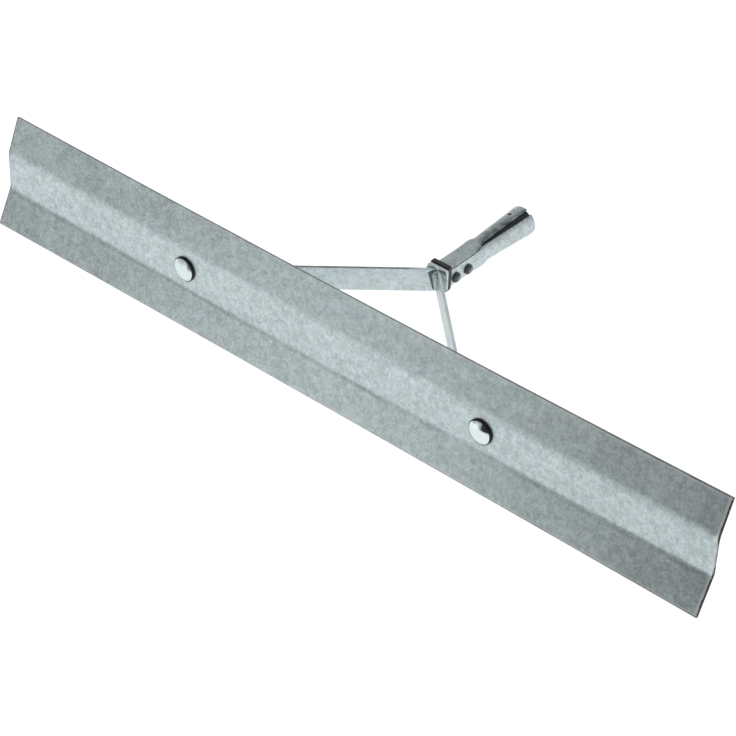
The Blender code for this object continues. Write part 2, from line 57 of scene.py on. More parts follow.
BOLT_PLACES = (("left", -BOLT_SPACING / 2), ("right", BOLT_SPACING / 2))
HEAD_RADIUS = 0.0136
HEAD_RIM = 0.0022
HEAD_DOME = 0.0045
SHANK_RADIUS = 0.0062
WASHER_RADIUS = 0.0135
WASHER_THICK = 0.0024
LOCK_WASHER_RADIUS = 0.011
LOCK_WASHER_THICK = 0.003
NUT_FLATS = 0.019
NUT_THICK = 0.011
SHANK_PROUD = 0.003
BAR_HEIGHT = 0.027
BAR_THICK = 0.0032
BAR_FOLD_RADIUS = 0.006
FOOT_FOLD_X = 0.173
FOOT_BEYOND_BOLT = 0.018
FOOT_CORNER_RADIUS = 0.0115
APEX_Y = 0.167
APEX_DROP = 0.0036
CROWN_FRONT_Y = 0.1645
CROWN_WIDTH = 0.0255
CROWN_HEIGHT = 0.0254
CROWN_THICK = 0.004
CROWN_CORNER_RADIUS = 0.003
BASE_WIDTH = 0.024
BASE_TOP_Z = 0.0143
BASE_BOTTOM_Z = -0.0175
BASE_THICK = 0.0055
BASE_TOP_CORNER_RADIUS = 0.002
BASE_LOW_CORNER_RADIUS = 0.007
CHEEK_THICK = 0.003
CHEEK_TOP_Z = 0.0048
CHEEK_BOTTOM_Z = -0.0072
CHEEK_END_Y = 0.2095
RIVET_RADIUS = 0.0032
RIVET_HEAD_RADIUS = 0.0046
RIVET_HEAD_HEIGHT = 0.0025
WELD_LEG = 0.006
WELD_TOP_Z = 0.0095
WELD_BOTTOM_Z = -0.0120
HANDLE_PITCH = radians(2)
HANDLE_DROP = 0.0075
SOCKET_WALL = 0.002
SOCKET_START_GAP = 0.001
SOCKET_BOX_HALF_X = 0.0105
SOCKET_BOX_HALF_Z = 0.0110
SOCKET_BOX_POWER = 9.0
BOX_END_Y = 0.211
FERRULE_START_Y = 0.236
FERRULE_START_RADIUS = 0.0130
MOUTH_Y = 0.3045
MOUTH_RADIUS = 0.0164
SEAM_ANGLE_BOX = radians(45)
SEAM_ANGLE_MOUTH = radians(29)
SEAM_GAP_MOUTH = 0.0062
SEAM_GAP_BOX = 0.0006
SEAM_OPENS_Y = 0.226
LAP_START_Y = 0.221
LAP_SPREAD = radians(11)
LAP_DEPTH = 0.0012
HANDLE_SCREW_Y = 0.2865
HANDLE_SCREW_ANGLE = radians(-16)
HANDLE_SCREW_RADIUS = 0.0024
TANG_BOLT_Y = (0.1832, 0.2022)
TANG_BOLT_Z = -0.0026
TANG_SHANK_RADIUS = 0.0025
TANG_HEAD_RADIUS = 0.0056
TANG_HEAD_RIM = 0.0018
TANG_HEAD_DOME = 0.0025
TANG_WASHER_RADIUS = 0.0050
TANG_WASHER_THICK = 0.0008
TANG_NUT_FLATS = 0.008
TANG_NUT_THICK = 0.003
TANG_SHANK_PROUD = 0.0005

# Where pieces start along Y, from the blade's front to the bracket, in the tool frame.
FOOT_CENTRE_Y = BLADE_THICK + GAP + BAR_THICK / 2
WASHER_Y = BLADE_THICK + BAR_THICK + 2 * GAP
LOCK_WASHER_Y = WASHER_Y + WASHER_THICK + GAP
NUT_Y = LOCK_WASHER_Y + LOCK_WASHER_THICK + GAP
BASE_FRONT_Y = CROWN_FRONT_Y + CROWN_THICK + GAP

# Sizes of what only the visual model shows: sunk brace feet, a fuller weld on the plate, the weld
# in the braces' crook with a thin dark sheet of painted shade beside it, and dents as
# (x, y, width, depth) in the socket's top.
FOOT_DROP = 0.0013
WELD_TOE_ON_PLATE = 0.0088
CROOK_LEG = 0.0062
CROOK_SHADE_REACH = 0.0102
CROOK_SHADE_THICK = 0.0009
CROOK_TOP_Z = 0.0085
CROOK_BOTTOM_Z = -0.0150
LAP_SETBACK = 0.0006
DENTS = ((-0.0035, 0.1915, 0.0035, 0.0005), (0.0030, 0.1985, 0.0028, 0.0004),
         (-0.0005, 0.2060, 0.0040, 0.0004))
BOLT_PITCH = 0.00195
BOLT_THREAD_DEPTH = 0.0009
SMALL_PITCH = 0.0008
SMALL_THREAD_DEPTH = 0.0004
NUT_TURN = radians(17)

# Slight bow of the used blade between its bolts and its ends, in metres per square metre, and what
# share of it is left at the lower edge, whose ends are pushed forward instead.
BOW_RATE = 0.014
LOWER_EDGE_BOW = -0.45

# Heights above the floor of the blade's web, its front's middle and its lower fold.
WEB_CENTRE_Z = 0.0567
FRONT_MIDDLE_Z = 0.05725
LOWER_FOLD_Z = 0.0330

# Marks on the blade: painted shade towards its right end and along its lower fold, and dark and pale
# strips and lines at its ends and long edges. Where each mark starts and where it is complete, in
# metres along X, from the lower fold, in from an end, or up and down from the front's middle.
END_SHADE_X = (0.12, 0.45)
END_SHADE_AMOUNT = 0.06
FOLD_SHADE_OFFSET = (0.0028, 0.0004)
RIM_INSET = (0.0034, 0.0018)
END_STRIP_INSET = (0.0001, -0.0003)
EDGE_LINE_X = (-0.1, 0.42)
PALE_LINE_REACH = (0.0538, 0.0548)
DARK_LINE_REACH = (0.0555, 0.0563)
RAGGED_DEPTH = 0.0022

# Where the bars' top edges turn from painted shade to painted highlight, and how far painted shade
# spreads from the seam, in steps around the socket: on the lower lip, and on the upper lip at the
# mouth and at the neck.
LIT_EDGE_X = (-0.022, -0.014)
LOWER_LIP_STEPS = 2.5
UPPER_LIP_STEPS = 7
NECK_EXTRA_STEPS = 21
NECK_SHADE_END_Y = 0.298

# Grain of the zinc, in metres, and crystals per metre.
GRAIN_SIZE = 0.0024
BLOTCH_SIZE = 0.0075
HUE_SIZE = 0.0042
CRYSTALS = 210.0

# Left edge of the dark surroundings, and the near edge of their ground, in metres.
DARK_LEFT = -0.20
DARK_NEAR = -0.80

# Glow of the paper floor, as if it were lit from below.
FLOOR_GLOW = 1.02

# Fineness of the detailed shapes.
FOLD_STEPS = 10
FLAT_STEP = 0.006
BLADE_STATIONS = 150
SOCKET_AROUND = 132
LAP_AROUND = 20
ROUND_SEGMENTS = 64
SMALL_SEGMENTS = 40


# --- Outlines and frames ---

def between(low, high, share):
    return low + (high - low) * share


def left_of(direction):
    return Vector((-direction.y, direction.x))


def turned_left(direction, angle):
    return direction * cos(angle) + left_of(direction) * sin(angle)


def rounded_path(corners, radii):
    """Points with left-hand normals along a polyline, with one radius for each inner corner."""
    samples = [(corners[0], left_of((corners[1] - corners[0]).normalized()))]
    for before, corner, after, radius in zip(corners, corners[1:], corners[2:], radii):
        arriving = (corner - before).normalized()
        leaving = (after - corner).normalized()
        turn = copysign(acos(arriving.dot(leaving)), left_of(arriving).dot(leaving))
        side = copysign(1.0, turn)
        centre = corner - arriving * radius * tan(abs(turn) / 2) + left_of(arriving) * radius * side
        for step in range(FOLD_STEPS + 1):
            normal = turned_left(left_of(arriving), turn * step / FOLD_STEPS)
            samples.append((centre - normal * radius * side, normal))
    samples.append((corners[-1], left_of((corners[-1] - corners[-2]).normalized())))
    return samples


def with_flat_steps(samples, spacing):
    """Adds points along the straight stretches of a rounded path."""
    filled = [samples[0]]
    for (here, _), (there, normal) in zip(samples, samples[1:]):
        count = max(1, round((there - here).length / spacing))
        filled += [(here.lerp(there, k / count), normal) for k in range(1, count)]
        filled.append((there, normal))
    return filled


def strip_outline(samples, thickness):
    one_side = [point + normal * thickness / 2 for point, normal in samples]
    other_side = [point - normal * thickness / 2 for point, normal in reversed(samples)]
    return one_side + other_side


def blade_path():
    """The folded sheet's centre line in (Y, Z), from the top edge to the lower edge."""
    reach = Vector((FLANGE_WIDTH * sin(FOLD_ANGLE), FLANGE_WIDTH * cos(FOLD_ANGLE)))
    upper_fold = Vector((BLADE_THICK / 2, WEB_WIDTH / 2))
    lower_fold = Vector((BLADE_THICK / 2, -WEB_WIDTH / 2))
    corners = [upper_fold + reach, upper_fold, lower_fold, lower_fold - reach]
    return rounded_path(corners, (UPPER_FOLD_RADIUS, LOWER_FOLD_RADIUS))


def mouth_rim(up):
    """The mouth's highest (up = 1) or lowest (up = -1) rim point, in the tool's (Y, Z)."""
    along = Vector((cos(HANDLE_PITCH), sin(HANDLE_PITCH)))
    return along * MOUTH_Y + left_of(along) * MOUTH_RADIUS * up - Vector((0.0, HANDLE_DROP))


def tool_matrix():
    """The tool's lean, with its blade and its socket's mouth on the floor and its middle at zero."""
    low_end, normal = blade_path()[-1]
    edge = sorted((low_end + normal * BLADE_THICK / 2, low_end - normal * BLADE_THICK / 2),
                  key=lambda corner: corner.x)
    low_rim = mouth_rim(-1)
    high_rim = mouth_rim(1)
    lean = atan2(low_rim.y - edge[1].y, low_rim.x - edge[1].x)
    front_most = edge[0].x * cos(lean) + edge[0].y * sin(lean)
    rear_most = high_rim.x * cos(lean) + high_rim.y * sin(lean)
    lowest = edge[1].y * cos(lean) - edge[1].x * sin(lean)
    place = Matrix.Translation((0.0, -(front_most + rear_most) / 2, -lowest))
    return place @ Matrix.Rotation(-lean, 4, 'X')


TOOL = tool_matrix()
HANDLE = TOOL @ Matrix.Translation((0.0, 0.0, -HANDLE_DROP)) @ Matrix.Rotation(HANDLE_PITCH, 4, 'X')
TO_BACK = Matrix.Rotation(-pi / 2, 4, 'X')
TO_LEFT = Matrix.Rotation(-pi / 2, 4, 'Y')


# --- Materials ---

class Nodes:
    """A node tree under construction, with short calls for its arithmetic."""

    def __init__(self, tree):
        self.tree = tree

    def feed(self, socket, value):
        if isinstance(value, bpy.types.NodeSocket):
            self.tree.links.new(value, socket)
        else:
            socket.default_value = value

    def add(self, kind, inputs=None, **settings):
        """A new node with its settings, and its inputs fed by name or by number."""
        node = self.tree.nodes.new(kind)
        for key, value in settings.items():
            setattr(node, key, value)
        for key, value in (inputs or {}).items():
            self.feed(node.inputs[key], value)
        return node

    def axes(self, vector):
        """The outputs X, Y and Z of a vector."""
        return self.add('ShaderNodeSeparateXYZ', {"Vector": vector}).outputs

    def spread(self, value, low, high, to_low=0.0, to_high=1.0, smooth=False):
        """Maps low..high to to_low..to_high, and stops at both ends."""
        node = self.add('ShaderNodeMapRange', {"Value": value, "From Min": low, "From Max": high,
                                               "To Min": to_low, "To Max": to_high},
                        interpolation_type='SMOOTHSTEP' if smooth else 'LINEAR')
        return node.outputs["Result"]

    def maths(self, operation, first, second, clamp=False):
        node = self.add('ShaderNodeMath', {0: first, 1: second}, operation=operation, use_clamp=clamp)
        return node.outputs["Value"]

    def product(self, first, second, clamp=False):
        return self.maths('MULTIPLY', first, second, clamp)

    def away(self, value, centre):
        """How far a value is from a centre, on either side."""
        return self.maths('ABSOLUTE', self.maths('SUBTRACT', value, centre), 0.0)


class Shader(Nodes):
    """A material under construction, with short calls for what the metals share."""

    def __init__(self, name):
        self.made = bpy.data.materials.new(name)
        self.made.use_nodes = True
        super().__init__(self.made.node_tree)
        self.bsdf = self.tree.nodes["Principled BSDF"]
        self.place = self.add('ShaderNodeTexCoord').outputs["Object"]

    def stretched(self, scale):
        node = self.add('ShaderNodeMapping', {"Scale": scale, "Vector": self.place})
        return node.outputs["Vector"]

    def noise(self, scale, detail=2.0, roughness=0.5, place=None):
        node = self.add('ShaderNodeTexNoise', {"Scale": scale, "Detail": detail,
                                               "Roughness": roughness, "Vector": place or self.place})
        return node.outputs["Fac"]

    def cells(self, scale):
        """A random grey for each cell of a crystal pattern."""
        node = self.add('ShaderNodeTexVoronoi', {"Scale": scale, "Vector": self.place})
        return self.add('ShaderNodeSeparateColor', {"Color": node.outputs["Color"]}).outputs["Red"]

    def mix(self, amount, first, second, blend='MIX'):
        node = self.add('ShaderNodeMix', {0: amount, 6: first, 7: second}, data_type='RGBA',
                        blend_type=blend)
        return node.outputs[2]

    def edges(self, radius):
        """1 on worn outer edges and tight corners, 0 on open faces."""
        rounded = self.add('ShaderNodeBevel', {"Radius": radius}, samples=4).outputs["Normal"]
        plain = self.add('ShaderNodeNewGeometry').outputs["Normal"]
        dot = self.add('ShaderNodeVectorMath', {0: rounded, 1: plain}, operation='DOT_PRODUCT')
        return self.spread(dot.outputs["Value"], 0.995, 0.90)

    def corner_shade(self, distance):
        """Painted shade: 1 deep in a corner between pieces, 0 in the open."""
        node = self.add('ShaderNodeAmbientOcclusion', {"Distance": distance}, samples=8)
        return self.spread(node.outputs["AO"], 0.75, 0.25)

    def bump(self, height, strength, distance, base=None):
        node = self.add('ShaderNodeBump', {"Strength": strength, "Distance": distance,
                                           "Height": height})
        if base:
            self.feed(node.inputs["Normal"], base)
        return node.outputs["Normal"]

    def set(self, **inputs):
        """Feeds inputs of the surface, named with underscores for spaces."""
        for key, value in inputs.items():
            self.feed(self.bsdf.inputs[key.replace("_", " ")], value)

    def finish(self, colour, roughness, normal, metallic=1.0):
        self.set(Base_Color=colour, Roughness=roughness, Normal=normal, Metallic=metallic)
        return self.made


def tint(level, warmth=0.0):
    """A cool grey with an alpha, a little warmer if asked."""
    return (level * (0.872 + warmth), level, level * (1.022 - warmth), 1.0)


def from_blade_end(insets):
    return [BLADE_LENGTH / 2 - inset for inset in insets]


def blade_marks(s, colour, light, dark):
    """The blade's marks: painted shade towards its right end and along its lower fold, dark and pale
    strips at its sheared ends, and lines along its long edges.
    """
    place = s.axes(s.place)
    across, up = place["X"], place["Z"]
    # Painted shade: the blade grows darker towards its right end.
    end_shade = s.spread(across, *END_SHADE_X, 0.0, END_SHADE_AMOUNT, smooth=True)
    colour = s.mix(end_shade, colour, tint(dark * 0.35))
    streaks = s.noise(1.0, detail=3.0, roughness=0.6, place=s.stretched((22.0, 160.0, 160.0)))
    # Painted shade along the lower fold, broken into streaks.
    fold_shade = s.product(s.spread(s.away(up, LOWER_FOLD_Z), *FOLD_SHADE_OFFSET, smooth=True),
                       s.spread(streaks, 0.38, 0.62, 0.05, 0.42))
    colour = s.mix(fold_shade, colour, tint(dark * 0.45))
    ragged = s.product(s.noise(260.0, detail=3.0, roughness=0.7), RAGGED_DEPTH)
    on_flange = s.spread(s.away(up, WEB_CENTRE_Z), WEB_WIDTH * 0.36, WEB_WIDTH * 0.48, 0.15, 1.0)
    rim = s.spread(s.maths('ADD', across, ragged), *from_blade_end(RIM_INSET), 0.0, 0.75)
    colour = s.mix(s.product(rim, on_flange), colour, tint(light * 1.12, 0.08))
    # A near-black strip just in from both ends, mostly on the flanges.
    end_strip = s.spread(s.maths('ADD', s.away(across, 0.0), ragged), *from_blade_end(END_STRIP_INSET))
    colour = s.mix(s.product(end_strip, on_flange), colour, tint(0.03, 0.02))
    # A pale line and, just outside it, a broken dark line along both long edges, stronger towards the
    # right end.
    edge_reach = s.maths('ADD', s.away(up, FRONT_MIDDLE_Z), s.product(ragged, 0.8))
    pale_line = s.product(s.spread(edge_reach, *PALE_LINE_REACH),
                          s.spread(across, *EDGE_LINE_X, 0.05, 0.55))
    colour = s.mix(pale_line, colour, tint(light * 1.05, 0.08))
    broken = s.product(s.spread(across, *EDGE_LINE_X, 0.15, 0.85),
                       s.spread(streaks, 0.35, 0.60, 0.35, 1.0))
    dark_edge_line = s.product(s.spread(edge_reach, *DARK_LINE_REACH), broken)
    return s.mix(dark_edge_line, colour, tint(0.09, 0.06))


def bar_top_shading(s, colour, light, dark):
    """Top edges of the bars: painted shade along the left leg, painted highlight on the crown and right
    leg.
    """
    upward = s.spread(s.axes(s.add('ShaderNodeNewGeometry').outputs["Normal"])["Z"], 0.30, 0.80)
    streaks = s.noise(1.0, detail=3.0, roughness=0.6, place=s.stretched((45.0, 45.0, 200.0)))
    lit_share = s.spread(s.axes(s.place)["X"], *LIT_EDGE_X)
    tone = s.mix(lit_share, tint(dark * 0.42), tint(light * 1.25, 0.02))
    return s.mix(s.product(upward, s.spread(streaks, 0.35, 0.60, 0.45, 0.90)), colour, tone)


def seam_shade(s, colour, dark):
    """Painted shade beside the open seam, broken into smeared patches, wherever the mesh marks it."""
    seam_shade_mask = s.add('ShaderNodeAttribute', attribute_name="seam_shade_mask").outputs["Fac"]
    breakup = s.noise(170.0, detail=4.0, roughness=0.7)
    patchy = s.product(seam_shade_mask, s.spread(breakup, 0.38, 0.60, 0.40, 1.15), clamp=True)
    return s.mix(patchy, colour, tint(dark * 0.18))


def galvanised(name, light, dark, rough, blade=False, seam=False, bar=False):
    """Hot-dip zinc: mottled grain over faint crystals and slow clouds, stains, worn edges and painted
    shade in corners.
    """
    s = Shader(name)
    grain = s.noise(1 / GRAIN_SIZE, detail=3.0, roughness=0.62)
    blotch = s.noise(1 / BLOTCH_SIZE, detail=2.0, roughness=0.55)
    flakes = s.cells(CRYSTALS)
    clouds = s.noise(16.0, detail=3.0, roughness=0.6)
    stain = s.noise(48.0, detail=5.0, roughness=0.7)
    level = 0.5
    for pattern, low, high, share in ((grain, 0.25, 0.75, 0.60), (blotch, 0.25, 0.75, 0.32),
                                      (flakes, 0.0, 1.0, 0.16), (clouds, 0.3, 0.7, 0.14)):
        level = s.maths('ADD', level, s.spread(pattern, low, high, -share, share), pattern is clouds)
    colour = s.mix(level, tint(dark), tint(light))
    hue = s.noise(1 / HUE_SIZE, detail=2.0, roughness=0.6, place=s.stretched((1.0, 1.0, -1.0)))
    violet = (1.025, 0.985, 1.03, 1.0)
    green = (0.975, 1.015, 0.97, 1.0)
    colour = s.mix(1.0, colour, s.mix(s.spread(hue, 0.32, 0.68), violet, green), blend='MULTIPLY')
    colour = s.mix(s.spread(stain, 0.60, 0.78, 0.0, 0.30), colour, tint(dark * 0.8, 0.03))
    if blade:
        colour = blade_marks(s, colour, light, dark)
    if bar:
        colour = bar_top_shading(s, colour, light, dark)
    if seam:
        colour = seam_shade(s, colour, dark)
    colour = s.mix(s.product(s.edges(0.0006), 0.25), colour, tint(light * 1.15, 0.03))
    # Painted shade in corners between pieces.
    colour = s.mix(s.product(s.corner_shade(0.005), 0.65), colour, tint(dark * 0.25, 0.02))
    roughness = s.spread(s.maths('ADD', grain, clouds), 0.7, 1.3, rough - 0.07, rough + 0.07)
    fine = s.bump(grain, strength=0.30, distance=0.0002)
    return s.finish(colour, roughness, s.bump(clouds, strength=0.30, distance=0.0010, base=fine))


def cut_edge(name, level, rough, pale):
    """A dark surface with score lines and paler patches, for the blade's sheared edges and for painted
    shade on the socket's lap and the bolt heads' rims.
    """
    s = Shader(name)
    scores = s.noise(1.0, detail=2.0, place=s.stretched((2400.0, 300.0, 300.0)))
    patches = s.noise(90.0, detail=4.0, roughness=0.65)
    colour = s.mix(s.spread(scores, 0.35, 0.65), tint(level * 0.6, 0.03), tint(level * 1.3, 0.03))
    colour = s.mix(s.spread(patches, 0.55, 0.72, 0.0, pale), colour, tint(level * 3.0, 0.06))
    roughness = s.spread(patches, 0.3, 0.7, rough - 0.05, rough + 0.1)
    return s.finish(colour, roughness, s.bump(scores, strength=0.35, distance=0.0002))


def zinc_plate(name, light, dark, rough, dulled):
    """Zinc plating: nearly smooth, with handling marks, painted shade in its corners and, if dulled,
    pale bloom.
    """
    s = Shader(name)
    marks = s.noise(420.0, detail=4.0, roughness=0.7)
    clouds = s.noise(130.0, detail=2.0)
    level = s.maths('ADD', s.spread(marks, 0.3, 0.7, -0.25, 0.25),
                    s.spread(clouds, 0.3, 0.7, 0.3, 0.7), clamp=True)
    colour = s.mix(level, tint(dark, 0.02), tint(light, 0.02))
    # Painted shade in corners between pieces.
    colour = s.mix(s.product(s.corner_shade(0.004), 0.6), colour, tint(dark * 0.3, 0.02))
    roughness = s.spread(clouds, 0.3, 0.7, rough - 0.04, rough + 0.06)
    metallic = s.spread(marks, 0.3, 0.7, 1.0 - dulled, 1.0 - dulled * 0.7)
    return s.finish(colour, roughness, s.bump(marks, strength=0.12, distance=0.0001), metallic)


def black_finish(name, level, bare, rough, wear):
    """Black paint or oxide, rubbed through to grey steel along its outer edges."""
    s = Shader(name)
    peel = s.noise(700.0, detail=3.0, roughness=0.6)
    patches = s.noise(160.0, detail=4.0, roughness=0.7)
    colour = s.mix(s.spread(patches, 0.3, 0.7), tint(level * 0.7), tint(level * 1.4))
    rubbed = s.product(s.product(s.edges(0.0008), s.spread(patches, 0.42, 0.62), clamp=True), wear)
    colour = s.mix(rubbed, colour, tint(bare))
    roughness = s.spread(peel, 0.3, 0.7, rough - 0.06, rough + 0.08)
    return s.finish(colour, roughness, s.bump(peel, strength=0.18, distance=0.00015), rubbed)


def weld_metal(name, light, dark, rough):
    """Weld bead under a zinc wash: silvery, with heat-stained patches and painted shade at its toes."""
    s = Shader(name)
    grit = s.noise(500.0, detail=4.0, roughness=0.7)
    heat = s.noise(140.0, detail=2.0)
    colour = s.mix(s.spread(grit, 0.3, 0.7), tint(dark), tint(light))
    colour = s.mix(s.spread(heat, 0.55, 0.75, 0.0, 0.4), colour, tint(dark * 0.8, 0.05))
    # Painted shade in corners between pieces.
    colour = s.mix(s.product(s.corner_shade(0.003), 0.6), colour, tint(dark * 0.4))
    roughness = s.spread(grit, 0.3, 0.7, rough - 0.08, rough + 0.08)
    return s.finish(colour, roughness, s.bump(grit, strength=0.3, distance=0.0003))


SHEET = galvanised("sheet_zinc", light=0.70, dark=0.44, rough=0.42, blade=True)
BAR = galvanised("bar_zinc", light=0.70, dark=0.48, rough=0.40, bar=True)
SOCKET_SKIN = galvanised("socket_zinc", light=0.66, dark=0.42, rough=0.40, seam=True)
# The blade's cut edges: end faces near-black across the flanges and paler across the web, long edges
# dark grey.
SHEARED = cut_edge("sheared_edge", level=0.030, rough=0.50, pale=0.5)
PALE_WEB_END = cut_edge("pale_web_end", level=0.20, rough=0.45, pale=0.8)
LONG_EDGE = cut_edge("long_edge", level=0.15, rough=0.50, pale=0.6)
SEAM_DARK = cut_edge("seam_shadow", level=0.065, rough=0.60, pale=0.3)
# Painted shade on the carriage bolt heads' rim walls.
RIM_SHADE = cut_edge("bolt_rim_shade", level=0.045, rough=0.45, pale=0.4)
PLATED = zinc_plate("bright_zinc", light=0.84, dark=0.70, rough=0.15, dulled=0.0)
PLATED_DULL = zinc_plate("dull_zinc", light=0.86, dark=0.72, rough=0.26, dulled=0.15)
ENAMEL = black_finish("black_enamel", level=0.012, bare=0.30, rough=0.42, wear=0.5)
OXIDE = black_finish("black_oxide", level=0.050, bare=0.30, rough=0.36, wear=0.5)
# Painted highlight for the middle of the tang bolts' domes.
OXIDE_HIGHLIGHT = black_finish("oxide_crown_highlight", level=0.20, bare=0.40, rough=0.34, wear=0.6)
BEAD = weld_metal("weld_bead", light=0.58, dark=0.40, rough=0.40)
# Painted shade in the braces' crook.
CROOK_SHADE = weld_metal("crook_shade", light=0.19, dark=0.10, rough=0.50)


# --- Mesh helpers ---

def placed(name, data):
    """A new object of the scene that holds a mesh, a lamp or a camera."""
    made = bpy.data.objects.new(name, data)
    bpy.context.scene.collection.objects.link(made)
    return made


def mesh_of(bm, name, matrix):
    bmesh.ops.recalc_face_normals(bm, faces=bm.faces)
    mesh = bpy.data.meshes.new(name)
    bm.to_mesh(mesh)
    bm.free()
    mesh.transform(matrix)
    return mesh


def piece(name, bm, matrix, materials, replaces=(), bevel=0.0, sharp=30):
    """A finished piece in the row frame: shaded, bevelled, riding on the one body."""
    mesh = mesh_of(bm, name, matrix)
    mesh.shade_smooth()
    mesh.set_sharp_from_angle(angle=radians(sharp))
    for material in materials:
        mesh.materials.append(material)
    made = placed(name, mesh)
    if bevel:
        modifier = made.modifiers.new("edge_round", 'BEVEL')
        modifier.width = bevel
        modifier.segments = 3
        modifier.limit_method = 'ANGLE'
        modifier.angle_limit = radians(sharp)
        modifier.harden_normals = True
    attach(made, "root")
    if replaces:
        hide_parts(*replaces)
    return made


def prism(outline, low, high):
    """A bmesh of a flat outline in local XY, extruded from low to high along local Z."""
    bm = bmesh.new()
    floor_face = bm.faces.new([bm.verts.new((point.x, point.y, low)) for point in outline])
    extruded = bmesh.ops.extrude_face_region(bm, geom=[floor_face], use_keep_orig=True)
    top = [part for part in extruded["geom"] if isinstance(part, bmesh.types.BMVert)]
    bmesh.ops.translate(bm, verts=top, vec=(0, 0, high - low))
    return bm


def block(low, high):
    bm = bmesh.new()
    bmesh.ops.create_cube(bm, size=1.0)
    for vert in bm.verts:
        vert.co = Vector([between(*ends, share + 0.5) for *ends, share in zip(low, high, vert.co)])
    return bm


def round_corners(bm, along, radius, keep):
    """Bevel the edges that run along one axis (0, 1 or 2) and satisfy keep."""
    edges = []
    for edge in bm.edges:
        run = (edge.verts[1].co - edge.verts[0].co).normalized()
        if abs(run[along]) > 0.99 and keep((edge.verts[1].co + edge.verts[0].co) / 2):
            edges.append(edge)
    bmesh.ops.bevel(bm, geom=edges, offset=radius, segments=FOLD_STEPS, affect='EDGES', profile=0.5)


def skinned(rings, closed_ends=True):
    """A bmesh through rings of equal length, with fan caps if its ends are closed."""
    bm = bmesh.new()
    loops = [[bm.verts.new(point) for point in ring] for ring in rings]
    for near, far in zip(loops, loops[1:]):
        for k in range(len(near)):
            after = (k + 1) % len(near)
            bm.faces.new([near[k], near[after], far[after], far[k]])
    if closed_ends:
        for loop in (loops[0], loops[-1]):
            bm.faces.new(loop)
    return bm


def swept_sheet(loops):
    """A closed bmesh through sheet loops of equal length."""
    bm = skinned(loops, closed_ends=False)
    bm.verts.ensure_lookup_table()
    size = len(loops[0])
    for start in (0, (len(loops) - 1) * size):
        for k in range(size // 2 - 1):
            bm.faces.new([bm.verts[start + k], bm.verts[start + k + 1],
                          bm.verts[start + size - 2 - k], bm.verts[start + size - 1 - k]])
    return bm


def on_circle(radius, angle, height):
    return radius * cos(angle), radius * sin(angle), height


def turned(profile, segments=ROUND_SEGMENTS):
    """A solid of a (radius, height) profile turned about local Z; radius 0 closes an end."""
    bm = bmesh.new()
    rings = []
    for radius, height in profile:
        if radius == 0:
            rings.append([bm.verts.new((0, 0, height))])
        else:
            rings.append([bm.verts.new(on_circle(radius, 2 * pi * k / segments, height))
                          for k in range(segments)])
    pairs = list(zip(rings, rings[1:]))
    if len(rings[0]) > 1 and len(rings[-1]) > 1:
        pairs.append((rings[-1], rings[0]))
    for lower, upper in pairs:
        for k in range(segments):
            after = (k + 1) % segments
            corners = [lower[k % len(lower)], lower[after % len(lower)],
                       upper[after % len(upper)], upper[k % len(upper)]]
            bm.faces.new(list(dict.fromkeys(corners)))
    return bm


def joined(*parts):
    """One bmesh that holds every part."""
    whole = bmesh.new()
    for part in parts:
        mesh = bpy.data.meshes.new("part")
        part.to_mesh(mesh)
        part.free()
        whole.from_mesh(mesh)
        bpy.data.meshes.remove(mesh)
    return whole


def moved(bm, x=0.0, y=0.0, z=0.0, turn=None):
    if turn:
        bmesh.ops.transform(bm, matrix=turn, verts=bm.verts)
    bmesh.ops.translate(bm, verts=bm.verts, vec=(x, y, z))
    return bm


# --- Blade ---

def waviness(x, along):
    """A slow, shallow unevenness of the rolled sheet, in metres."""
    return 0.00028 * noise.noise(Vector((x * 9.0, along * 14.0, 3.1))) \
        + 0.00012 * noise.noise(Vector((x * 31.0, along * 40.0, 7.7)))


def make_blade():
    skins = (SHEET, SHEARED, PALE_WEB_END, LONG_EDGE)
    samples = with_flat_steps(blade_path(), FLAT_STEP)
    count = len(samples)
    rings = []
    for k in range(BLADE_STATIONS + 1):
        x = BLADE_LENGTH * (k / BLADE_STATIONS - 0.5)
        waved = [(point + normal * waviness(x, point.y), normal) for point, normal in samples]
        rings.append([(x, p.x, p.y) for p in strip_outline(waved, BLADE_THICK)])
    bm = swept_sheet(rings)
    for index, face in enumerate(bm.faces):
        skin = SHEET
        if index >= BLADE_STATIONS * len(rings[0]):
            # End faces: near-black across the flanges, paler across the web.
            skin = PALE_WEB_END if abs(face.calc_center_median().z) < WEB_WIDTH / 3 else SHEARED
        elif index % count == count - 1:
            skin = LONG_EDGE
        face.material_index = skins.index(skin)
    bow_way = TOOL.to_3x3().inverted() @ Vector((0.0, 1.0, 0.0))
    for vert in bm.verts:
        below_fold = max(0.0, -WEB_WIDTH / 2 - vert.co.z) / (FLANGE_WIDTH * cos(FOLD_ANGLE))
        rate = BOW_RATE * between(1, LOWER_EDGE_BOW, below_fold)
        vert.co += bow_way * rate * (vert.co.x ** 2 - (BOLT_SPACING / 2) ** 2)
    piece("blade_sheet", bm, TOOL, skins, ["blade"], bevel=0.0003)


# --- Braces ---

def clipped(outline, point, outward):
    """The part of an outline that lies behind the line through point."""
    kept = []
    for here, there in zip(outline, outline[1:] + outline[:1]):
        here_out = (here - point).dot(outward)
        there_out = (there - point).dot(outward)
        if here_out <= 0:
            kept.append(here)
        if here_out * there_out < 0:
            kept.append(here.lerp(there, here_out / (here_out - there_out)))
    return kept


